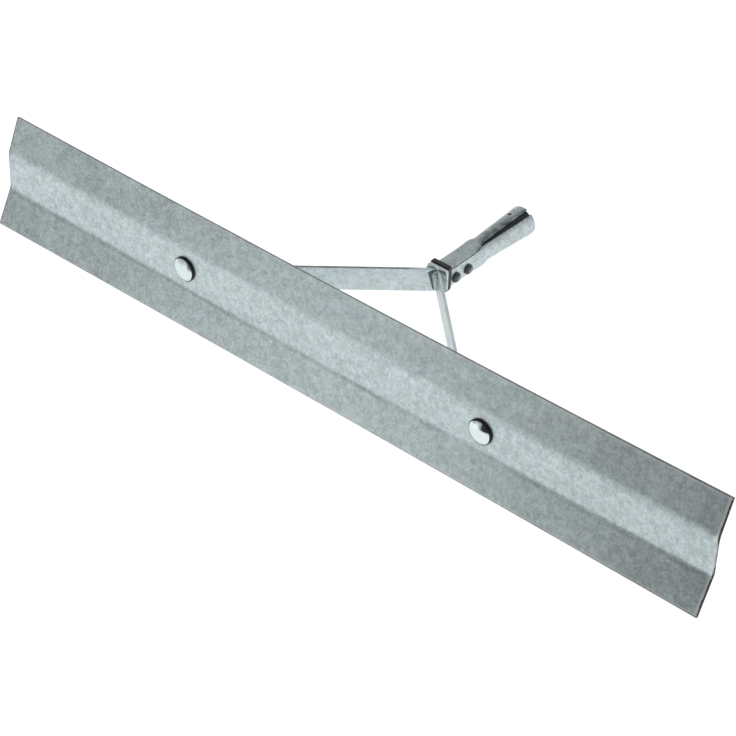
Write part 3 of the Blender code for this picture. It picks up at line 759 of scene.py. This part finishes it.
def brace_outline():
    """Plan of the right brace: a foot on the web, and a leg mitred against its twin."""
    foot_end = Vector((BOLT_SPACING / 2 + FOOT_BEYOND_BOLT, FOOT_CENTRE_Y))
    foot_fold = Vector((FOOT_FOLD_X, FOOT_CENTRE_Y))
    past_apex = Vector((0.0, APEX_Y)).lerp(foot_fold, -0.1)
    outline = strip_outline(rounded_path([foot_end, foot_fold, past_apex], (BAR_FOLD_RADIUS,)),
                            BAR_THICK)
    outline = clipped(outline, Vector((0.0, CROWN_FRONT_Y)), Vector((0.0, 1.0)))
    return clipped(outline, Vector((GAP / 2, 0.0)), Vector((-1.0, 0.0)))


def leg_drop(y):
    """How far a leg has sunk below the tool's axis at y."""
    return between(FOOT_DROP, APEX_DROP, (y - FOOT_CENTRE_Y) / (APEX_Y - FOOT_CENTRE_Y))


def make_braces():
    foot_end = BOLT_SPACING / 2 + FOOT_BEYOND_BOLT
    for side, x in BOLT_PLACES:
        hand = copysign(1.0, x)
        outline = [Vector((hand * point.x, point.y)) for point in brace_outline()]
        bm = prism(outline, -BAR_HEIGHT / 2, BAR_HEIGHT / 2)
        round_corners(bm, 1, FOOT_CORNER_RADIUS, lambda middle: abs(middle.x) > foot_end - GAP)
        for vert in bm.verts:
            vert.co.z -= leg_drop(vert.co.y)
        piece(f"brace_bar_{side}", bm, TOOL, (BAR,), [f"brace_{side}"], bevel=0.0006)


# --- Fasteners ---

def dome_profile(radius, height, steps):
    """A spherical cap from its crown down to its rim, for a head that points to local -Z."""
    sphere = (radius ** 2 + height ** 2) / (2 * height)
    spread = acos((sphere - height) / sphere)
    return [(sphere * sin(spread * k / steps), sphere * (1 - cos(spread * k / steps)) - height)
            for k in range(steps + 1)]


def head_profile(steps):
    """A cold-formed bolt head: flatter on its crown than a cap, and fuller at its shoulder."""
    profile = []
    for k in range(steps + 1):
        share = sin(pi / 2 * k / steps)
        profile.append((HEAD_RADIUS * share, -HEAD_DOME * (1 - share ** 2) ** 0.72))
    return profile


def threaded_rod(radius, start, end, pitch, depth):
    """A closed rod along local Z with a real helical thread and a tapered tip."""
    around = 36
    steps_per_turn = 6
    steps = int((end - start) / pitch * steps_per_turn)
    rings = []
    for k in range(steps + 1):
        z = between(start, end, k / steps)
        tip = max(0.0, (z - (end - pitch)) / pitch)
        ring = []
        for j in range(around):
            phase = (z / pitch - j / around) % 1.0
            r = radius - depth * (1 - abs(2 * phase - 1)) - depth * tip
            ring.append(on_circle(r, 2 * pi * j / around, z))
        rings.append(ring)
    return skinned(rings)


def hex_nut(flats, bore, thick):
    """A hexagonal nut with both faces chamfered to a circle."""
    around = 72
    apothem = flats / 2
    chamfer_radius = apothem * 0.97
    chamfer_slope = tan(radians(30))
    rings = [[], [], [], [], [], []]
    for k in range(around):
        angle = 2 * pi * k / around
        off_flat = (angle + pi / 6) % (pi / 3) - pi / 6
        reach = apothem / cos(off_flat)
        drop = (reach - chamfer_radius) * chamfer_slope
        corners = ((bore, 0.0), (chamfer_radius, 0.0), (reach, drop), (reach, thick - drop),
                   (chamfer_radius, thick), (bore, thick))
        for ring, (radius, z) in zip(rings, corners):
            ring.append(on_circle(radius, angle, z))
    return skinned(rings + rings[:1], closed_ends=False)


def washer(outer, inner, thick):
    """A flat washer with its outer rim broken by a punch radius."""
    lip = min(0.0004, thick / 3)
    return turned([(inner, 0.0), (outer - lip, 0.0), (outer, lip), (outer, thick - lip),
                   (outer - lip, thick), (inner, thick)])


def split_washer(outer, inner, thick):
    """A spring washer: one turn of square wire whose ends are a little out of line."""
    count = 60
    first = radians(96)
    turn = radians(350)
    offset = 0.0005
    inset = 0.0003
    rings = []
    for k in range(count + 1):
        angle = first + turn * k / count
        rise = (k / count - 0.5) * offset
        corners = ((inner, inset), (outer, inset), (outer, thick - inset), (inner, thick - inset))
        rings.append([on_circle(r, angle, z + rise) for r, z in corners])
    return skinned(rings)


def make_blade_fasteners():
    shank_end = NUT_Y + NUT_THICK + SHANK_PROUD
    rim_radius = HEAD_RADIUS + 0.00005
    rim_break = 0.0004
    hidden_thread = 0.002
    for (side, x), plating in zip(BOLT_PLACES, (PLATED_DULL, PLATED)):
        profile = [(radius, height - HEAD_RIM) for radius, height in head_profile(26)]
        profile += [(rim_radius, -HEAD_RIM * 0.9), (rim_radius, -HEAD_RIM * 0.15),
                    (HEAD_RADIUS - rim_break, 0.0), (SHANK_RADIUS, 0.0), (SHANK_RADIUS, NUT_Y),
                    (0, NUT_Y)]
        head = turned(profile)
        # Painted shade: the head's rim wall takes the near-black second material.
        for face in head.faces:
            middle = face.calc_center_median()
            if middle.z < 0.0 and middle.xy.length > HEAD_RADIUS * 0.93:
                face.material_index = 1
        thread = threaded_rod(SHANK_RADIUS, NUT_Y - hidden_thread, shank_end, BOLT_PITCH,
                              BOLT_THREAD_DEPTH)
        bolt = moved(joined(head, thread), x, 0.0, 0.0, TO_BACK)
        piece(f"carriage_bolt_{side}", bolt, TOOL, (plating, RIM_SHADE),
              [f"blade_bolt_{side}"])
        flat = moved(washer(WASHER_RADIUS, SHANK_RADIUS + GAP, WASHER_THICK), x, WASHER_Y, 0.0, TO_BACK)
        piece(f"flat_washer_{side}", flat, TOOL, (PLATED,), [f"blade_washer_{side}"],
              bevel=0.00015)
        spring = moved(split_washer(LOCK_WASHER_RADIUS, SHANK_RADIUS + GAP, LOCK_WASHER_THICK),
                       x, LOCK_WASHER_Y, 0.0, TO_BACK)
        piece(f"split_washer_{side}", spring, TOOL, (PLATED,),
              [f"blade_lock_washer_{side}"], bevel=0.0002)
        nut = moved(hex_nut(NUT_FLATS, SHANK_RADIUS + GAP, NUT_THICK), x, NUT_Y, 0.0,
                    TO_BACK @ Matrix.Rotation(NUT_TURN * copysign(1.0, x), 4, 'Z'))
        piece(f"hex_nut_{side}", nut, TOOL, (PLATED,), [f"blade_nut_{side}"],
              bevel=0.00025)


# --- Crown ---

def plate(width, front, thick, bottom, top):
    return block((-width / 2, front, bottom), (width / 2, front + thick, top))


def fillet(root, toe_one, toe_two, low, high, size_at, bulge, seed):
    """An upright weld in a corner: a rippled wedge from root to two toes, scaled by size_at."""
    steps = 44
    around = 12
    ripple_length, ripple_share = 0.0017, 0.035
    waver_rate, waver_share = 300, 0.10
    rings = []
    for k in range(steps + 1):
        share = k / steps
        z = between(low, high, share)
        size = size_at(share) * (1 + ripple_share * sin(2 * pi * z / ripple_length))
        size *= 1 + waver_share * noise.noise(Vector((z * waver_rate, seed, 0.0)))
        ring = [(root.x, root.y, z)]
        for j in range(around + 1):
            turn = j / around
            toe = toe_one.lerp(toe_two, turn)
            reach = toe - root
            swell = 1 + bulge * sin(pi * turn)
            ring.append((root.x + reach.x * size * swell, root.y + reach.y * size * swell, z))
        rings.append(ring)
    return skinned(rings)


def rounded_ends(share):
    """Full size along most of a weld, running out to a rounded point at both ends."""
    run_out, smallest = 0.14, 0.12
    return max(smallest, min(1.0, min(share, 1 - share) / run_out) ** 0.5)


def teardrop(share):
    """Narrow at the bottom, widest near the top, then quickly rounded off."""
    run_out, smallest, foot = 0.16, 0.08, 0.30
    top = min(1.0, (1 - share) / run_out) ** 0.5
    return max(smallest, between(foot, 1, share) * top)


def make_crown():
    bm = plate(CROWN_WIDTH, CROWN_FRONT_Y, CROWN_THICK, -CROWN_HEIGHT / 2, CROWN_HEIGHT / 2)
    round_corners(bm, 1, CROWN_CORNER_RADIUS, lambda middle: True)
    piece("crown_pad", bm, TOOL, (BAR,), ["crown_plate"], bevel=0.0006)
    apex = Vector((0.0, APEX_Y))
    down_leg = (Vector((FOOT_FOLD_X, FOOT_CENTRE_Y)) - apex).normalized()
    outward = left_of(down_leg)
    outer_face = apex + outward * (BAR_THICK / 2 + GAP / 2)
    root = outer_face + down_leg * (CROWN_FRONT_Y - outer_face.y) / down_leg.y
    for side, hand in (("left", -1.0), ("right", 1.0)):
        corners = [Vector((hand * corner.x, corner.y)) for corner in
                   (root, root + down_leg * WELD_LEG, root + Vector((WELD_TOE_ON_PLATE, 0.0)))]
        bm = fillet(*corners, WELD_BOTTOM_Z, WELD_TOP_Z, rounded_ends, bulge=0.10, seed=hand)
        piece(f"weld_bead_{side}", bm, TOOL, (BEAD,), [f"crown_weld_{side}"])
    inner_face = apex - outward * (BAR_THICK / 2)
    crook = Vector((0.0, (inner_face - down_leg * inner_face.x / down_leg.x).y))
    along_left = Vector((-down_leg.x, down_leg.y))
    nugget = fillet(crook, crook + down_leg * CROOK_LEG, crook + along_left * CROOK_LEG,
                    CROOK_BOTTOM_Z, CROOK_TOP_Z, teardrop, bulge=0.42, seed=5.0)
    # Painted shade: a thin dark sheet along the left leg beside the crook weld.
    shade_sheet = fillet(crook, crook + down_leg * CROOK_SHADE_THICK, crook + along_left * CROOK_SHADE_REACH,
                   CROOK_BOTTOM_Z, CROOK_TOP_Z + CROOK_SHADE_THICK, teardrop, bulge=0.05, seed=9.0)
    for face in shade_sheet.faces:
        face.material_index = 1
    piece("weld_crook", joined(nugget, shade_sheet), TOOL, (BEAD, CROOK_SHADE))


def make_bracket():
    bm = plate(BASE_WIDTH, BASE_FRONT_Y, BASE_THICK, BASE_BOTTOM_Z, BASE_TOP_Z)
    round_corners(bm, 1, BASE_TOP_CORNER_RADIUS, lambda middle: middle.z > BASE_TOP_Z - GAP)
    round_corners(bm, 1, BASE_LOW_CORNER_RADIUS, lambda middle: middle.z < BASE_BOTTOM_Z + GAP)
    outer = SOCKET_BOX_HALF_X - SOCKET_WALL - GAP
    inner = outer - CHEEK_THICK
    start = BASE_FRONT_Y + BASE_THICK / 2
    to_tool = TOOL.inverted() @ HANDLE
    cheeks = [moved(block((low, start, CHEEK_BOTTOM_Z), (high, CHEEK_END_Y, CHEEK_TOP_Z)),
                    turn=to_tool) for low, high in ((-outer, -inner), (inner, outer))]
    piece("tang_yoke", joined(bm, *cheeks), TOOL, (ENAMEL,), ["tang_bracket"],
          bevel=0.0006)
    length = CROWN_THICK + BASE_THICK + 2 * GAP
    dome = [(radius, length - height)
            for radius, height in dome_profile(RIVET_HEAD_RADIUS, RIVET_HEAD_HEIGHT, FOLD_STEPS)]
    profile = [(0, 0.0), (RIVET_RADIUS, 0.0), (RIVET_RADIUS, length)] + dome[::-1]
    proud = 0.0001
    rivet = moved(turned(profile, SMALL_SEGMENTS), 0.0, CROWN_FRONT_Y - proud, 0.0, TO_BACK)
    piece("round_rivet", rivet, TOOL, (OXIDE,), ["crown_rivet"])


# --- Handle socket ---

def ease(share):
    share = min(max(share, 0.0), 1.0)
    return share * share * (3 - 2 * share)


def socket_section(y):
    """Half width, half height, squareness, seam angle and seam gap of the socket at y."""
    rounding = ease((y - BOX_END_Y) / (FERRULE_START_Y - BOX_END_Y))
    flare = max(0.0, (y - FERRULE_START_Y) / (MOUTH_Y - FERRULE_START_Y))
    radius = between(FERRULE_START_RADIUS, MOUTH_RADIUS, flare)
    half_x = between(SOCKET_BOX_HALF_X, radius, rounding)
    half_z = between(SOCKET_BOX_HALF_Z, radius, rounding)
    power = between(SOCKET_BOX_POWER, 2.0, rounding)
    seam = between(SEAM_ANGLE_BOX, SEAM_ANGLE_MOUTH, rounding)
    opening = max(0.0, (y - SEAM_OPENS_Y) / (MOUTH_Y - SEAM_OPENS_Y)) ** 0.5
    gap = between(SEAM_GAP_BOX, SEAM_GAP_MOUTH, opening)
    return half_x, half_z, power, seam, gap


def section_point(half_x, half_z, power, angle):
    """A point of the rounded outline, at an angle from +Z towards +X."""
    across = abs(sin(angle)) / half_x
    up = abs(cos(angle)) / half_z
    distance = (across ** power + up ** power) ** (-1 / power)
    return distance * sin(angle), distance * cos(angle)


def stations(start, end, count):
    """Even steps from start to end, without start itself."""
    return [between(start, end, k / count) for k in range(1, count + 1)]


def seam_half_angle(y):
    half_x, half_z, power, seam, gap = socket_section(y)
    return gap / 2 / Vector(section_point(half_x, half_z, power, seam)).length


def dent(x, y):
    """How deep the box end's top is knocked in at a place, in metres."""
    return sum(deep * exp(-((x - at_x) ** 2 + (y - at_y) ** 2) / wide ** 2)
               for at_x, at_y, wide, deep in DENTS)


def sheet_loop(y, insets, first_angle, last_angle, count):
    """Outer skin points, then inner skin points backwards, of a curved sheet at y."""
    half_x, half_z, power = socket_section(y)[:3]
    angles = [first_angle] + stations(first_angle, last_angle, count)
    skins = []
    for inset in insets:
        skin = [section_point(half_x - inset, half_z - inset, power, angle) for angle in angles]
        skins.append([(x, y, z - dent(x, y) if z > half_z / 2 else z) for x, z in skin])
    return skins[0] + skins[1][::-1]


def cut_by(target, cutter_bm, matrix):
    """Cuts a hole in a piece and bakes the cut into its mesh."""
    cutter = placed("cutter", mesh_of(cutter_bm, "cutter", matrix))
    modifier = target.modifiers.new("hole", 'BOOLEAN')
    modifier.operation = 'DIFFERENCE'
    modifier.solver = 'EXACT'
    modifier.object = cutter
    evaluated = target.evaluated_get(bpy.context.evaluated_depsgraph_get())
    baked = bpy.data.meshes.new_from_object(evaluated)
    target.modifiers.clear()
    target.data = baked
    bpy.data.objects.remove(cutter)


def add_seam_shade(bm, places):
    """Marks how much painted shade the skin takes beside the open seam, mostly on its upper lip."""
    layer = bm.verts.layers.float.new("seam_shade_mask")
    size = 2 * (SOCKET_AROUND + 1)
    for index, vert in enumerate(bm.verts):
        station, spot = divmod(index, size)
        spot = min(spot, size - 1 - spot)
        y = places[station]
        neck = ease((y - SEAM_OPENS_Y) / 0.010) * ease((NECK_SHADE_END_Y - y) / 0.045)
        reach = UPPER_LIP_STEPS + NECK_EXTRA_STEPS * neck
        upper_lip = max(0.0, 1 - (SOCKET_AROUND - spot) / reach)
        lower_lip = max(0.0, 1 - spot / LOWER_LIP_STEPS)
        fades_in = ease((y - BOX_END_Y) / 0.016)
        vert[layer] = max(upper_lip * 0.85, lower_lip * 0.8) * fades_in


def make_socket():
    start = BASE_FRONT_Y + BASE_THICK + SOCKET_START_GAP
    places = [start] + stations(start, BOX_END_Y, 10) + stations(BOX_END_Y, FERRULE_START_Y, 26)
    places += stations(FERRULE_START_Y, MOUTH_Y, 30)
    loops = []
    for y in places:
        edge = socket_section(y)[3] + seam_half_angle(y)
        last = edge + 2 * pi - 2 * seam_half_angle(y)
        loops.append(sheet_loop(y, (0.0, SOCKET_WALL), edge, last, SOCKET_AROUND))
    bm = swept_sheet(loops)
    add_seam_shade(bm, places)
    socket = piece("socket_shell", bm, HANDLE, (SOCKET_SKIN,),
                   ["handle_socket"], bevel=0.0004, sharp=40)
    circle = [Vector(on_circle(HANDLE_SCREW_RADIUS, 2 * pi * k / SMALL_SEGMENTS, 0.0))
              for k in range(SMALL_SEGMENTS)]
    hole = prism(circle, MOUTH_RADIUS / 2, 2 * MOUTH_RADIUS)
    tilt = Matrix.Translation((0.0, HANDLE_SCREW_Y, 0.0)) @ Matrix.Rotation(HANDLE_SCREW_ANGLE, 4, 'Y')
    cut_by(socket, hole, HANDLE @ tilt)
    clearance = 0.0001
    lap_loops = []
    for y in [y for y in places[:-1] if y > LAP_START_Y] + [MOUTH_Y - LAP_SETBACK]:
        spread = seam_half_angle(y) + LAP_SPREAD
        seam = socket_section(y)[3]
        insets = (SOCKET_WALL + clearance, SOCKET_WALL + LAP_DEPTH)
        lap_loops.append(sheet_loop(y, insets, seam - spread, seam + spread, LAP_AROUND))
    piece("socket_lap", swept_sheet(lap_loops), HANDLE, (SEAM_DARK,),
          bevel=0.0002)


def make_tang_fasteners():
    seat = SOCKET_BOX_HALF_X + GAP
    nut_at = seat + TANG_WASHER_THICK + GAP
    shank_end = seat + nut_at + TANG_NUT_THICK + TANG_SHANK_PROUD
    rim_break = 0.0003
    plain_end = shank_end - 0.004
    thread_start = shank_end - 0.006
    for place, y in zip(("front", "rear"), TANG_BOLT_Y):
        dome = dome_profile(TANG_HEAD_RADIUS - rim_break, TANG_HEAD_DOME, FOLD_STEPS)
        profile = [(radius, height - TANG_HEAD_RIM) for radius, height in dome]
        profile += [(TANG_HEAD_RADIUS, 0.0004 - TANG_HEAD_RIM), (TANG_HEAD_RADIUS, -rim_break),
                    (TANG_HEAD_RADIUS - rim_break, 0.0), (TANG_SHANK_RADIUS, 0.0),
                    (TANG_SHANK_RADIUS, plain_end), (0, plain_end)]
        head = turned(profile, 48)
        # Painted highlight: the middle of each dome takes a lighter oxide.
        for face in head.faces:
            middle = face.calc_center_median()
            if middle.z < 0 and middle.xy.length < TANG_HEAD_RADIUS * 0.5:
                face.material_index = 1
        thread = threaded_rod(TANG_SHANK_RADIUS, thread_start, shank_end, SMALL_PITCH,
                              SMALL_THREAD_DEPTH)
        bolt = moved(joined(head, thread), seat, y, TANG_BOLT_Z, TO_LEFT)
        piece(f"domed_bolt_{place}", bolt, HANDLE, (OXIDE, OXIDE_HIGHLIGHT),
              [f"tang_bolt_{place}"])
        flat = moved(washer(TANG_WASHER_RADIUS, TANG_SHANK_RADIUS + GAP, TANG_WASHER_THICK),
                     -seat, y, TANG_BOLT_Z, TO_LEFT)
        piece(f"small_washer_{place}", flat, HANDLE, (PLATED,),
              [f"tang_washer_{place}"])
        nut = moved(hex_nut(TANG_NUT_FLATS, TANG_SHANK_RADIUS + GAP, TANG_NUT_THICK), -nut_at, y,
                    TANG_BOLT_Z, TO_LEFT)
        piece(f"small_nut_{place}", nut, HANDLE, (OXIDE,), [f"tang_nut_{place}"],
              bevel=0.0002)


# --- Stage ---

def pale_floor():
    s = Shader("pale_floor")
    tone = s.noise(3.0, detail=2.0)
    colour = s.mix(s.spread(tone, 0.3, 0.7), (0.16, 0.162, 0.164, 1.0), (0.165, 0.165, 0.165, 1.0))
    s.set(Emission_Color=(1.0, 1.0, 1.0, 1.0), Emission_Strength=FLOOR_GLOW, Specular_IOR_Level=0.0)
    return s.finish(colour, s.spread(tone, 0.3, 0.7, 0.85, 0.95), s.bump(tone, 0.05, 0.001), 0.0)


def card(name, left, right, one_edge, other_edge, material):
    """A flat stage rectangle from left to right between two edges, each given as (Y, Z)."""
    corners = [(left, *one_edge), (right, *one_edge), (right, *other_edge), (left, *other_edge)]
    mesh = bpy.data.meshes.new(name)
    mesh.from_pydata(corners, [], [(0, 1, 2, 3)])
    mesh.materials.append(material)
    made = placed(name, mesh)
    return made


def make_floor():
    reach, below_tool = 12.0, -0.0004
    card("floor", -reach, reach, (-reach, below_tool), (reach, below_tool), pale_floor())


def dark_cards():
    """Unlit dark surroundings in front and to the right: a wall, and the ground before it."""
    s = Shader("dark_card")
    s.set(Base_Color=(0.02, 0.02, 0.02, 1.0), Roughness=0.9)
    right, front, top, low = 2.6, -1.7, 2.6, 0.0005
    for name, one_edge, other_edge in (("dark_wall", (front, 0.0), (front, top)),
                                       ("dark_ground", (front, low), (DARK_NEAR, low))):
        made = card(name, DARK_LEFT, right, one_edge, other_edge, s.made)
        made.visible_camera = False
        made.visible_shadow = False


def soft_light(name, place, aim, size, energy):
    lamp = bpy.data.lights.new(name, 'AREA')
    lamp.shape = 'SQUARE'
    lamp.size = size
    lamp.energy = energy
    made = placed(name, lamp)
    made.location = place
    made.rotation_euler = (Vector(place) - Vector(aim)).to_track_quat('Z', 'Y').to_euler()
    made.visible_camera = False


def make_world(front, back, top, right):
    """A room that is dim in front, lighter behind and above, and bright low on the right."""
    world = bpy.data.worlds.new("studio")
    world.use_nodes = True
    room = Nodes(world.node_tree)
    way = room.axes(room.add('ShaderNodeTexCoord').outputs["Generated"])
    around = room.spread(way["Y"], -0.6, 0.3, front, back)
    walls_and_top = room.spread(way["Z"], 0.2, 0.9, around, top)
    aside = room.spread(way["X"], 0.45, 0.90, 0.0, right)
    low = room.spread(way["Z"], 0.15, 0.55, 1.0, 0.0)
    glow = room.maths('ADD', room.product(aside, low), walls_and_top)
    background = room.tree.nodes["Background"]
    room.feed(background.inputs["Color"], (1.0, 1.0, 1.0, 1.0))
    room.feed(background.inputs["Strength"], glow)
    bpy.context.scene.world = world


def make_camera():
    lens = bpy.data.cameras.new("view")
    lens.sensor_width = 36.0
    lens.lens = 123.69
    lens.clip_end = 100.0
    camera = placed("view", lens)
    camera.matrix_world = Matrix(((0.749798, -0.412340, 0.517473, 1.306446),
                                  (0.658587, 0.540448, -0.523621, -1.408054),
                                  (-0.063758, 0.733411, 0.676789, 1.697613),
                                  (0.0, 0.0, 0.0, 1.0)))
    bpy.context.scene.camera = camera


make_camera()
make_floor()
make_world(front=0.50, back=0.62, top=0.58, right=0.55)
dark_cards()
soft_light("low_left", (-0.40, -0.95, 0.17), (0.1, -0.14, 0.06), 0.35, 0.20)
bpy.context.scene.view_settings.view_transform = 'Standard'

make_blade()
make_braces()
make_blade_fasteners()
make_crown()
make_bracket()
make_socket()
make_tang_fasteners()
